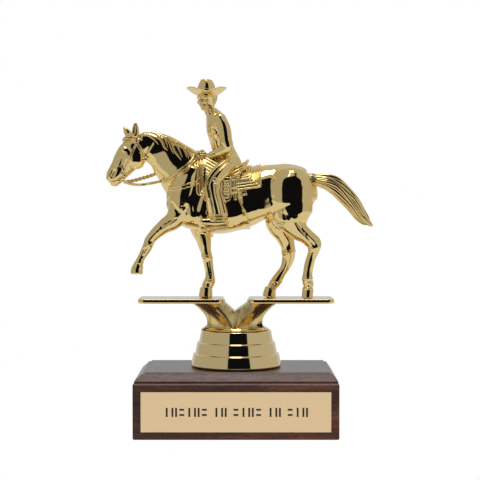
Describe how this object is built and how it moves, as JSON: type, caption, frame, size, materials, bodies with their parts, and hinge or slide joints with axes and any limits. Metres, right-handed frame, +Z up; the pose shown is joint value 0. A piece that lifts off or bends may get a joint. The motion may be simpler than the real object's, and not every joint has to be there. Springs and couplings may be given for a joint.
{
  "type": "riding trophy",
  "caption": "Small award trophy: western rider on a walking horse, on ground plates with a forked stem, a stepped round riser and a wooden block with a name plate.",
  "frame": {"origin": "middle of the wooden block's underside, where it stands", "axes": "+Z up; +X from the horse's head towards its tail, the longest side of the block; -Y towards the name plate's side"},
  "size_m": [0.139, 0.0659, 0.181],
  "materials": {
    "walnut": "dark walnut with a satin lacquer",
    "plate_metal": "matte gold-coloured sheet with dark printed strokes",
    "gold_riser": "bright gold metallised plastic, mirror-like",
    "gold_figure": "bright gold metallised plastic, mirror-like"
  },
  "bodies": {
    "root": {"wood_block": "walnut", "name_plate": "plate_metal", "riser": "gold_riser", "horse_and_rider": "gold_figure"}
  },
  "joints": []
}
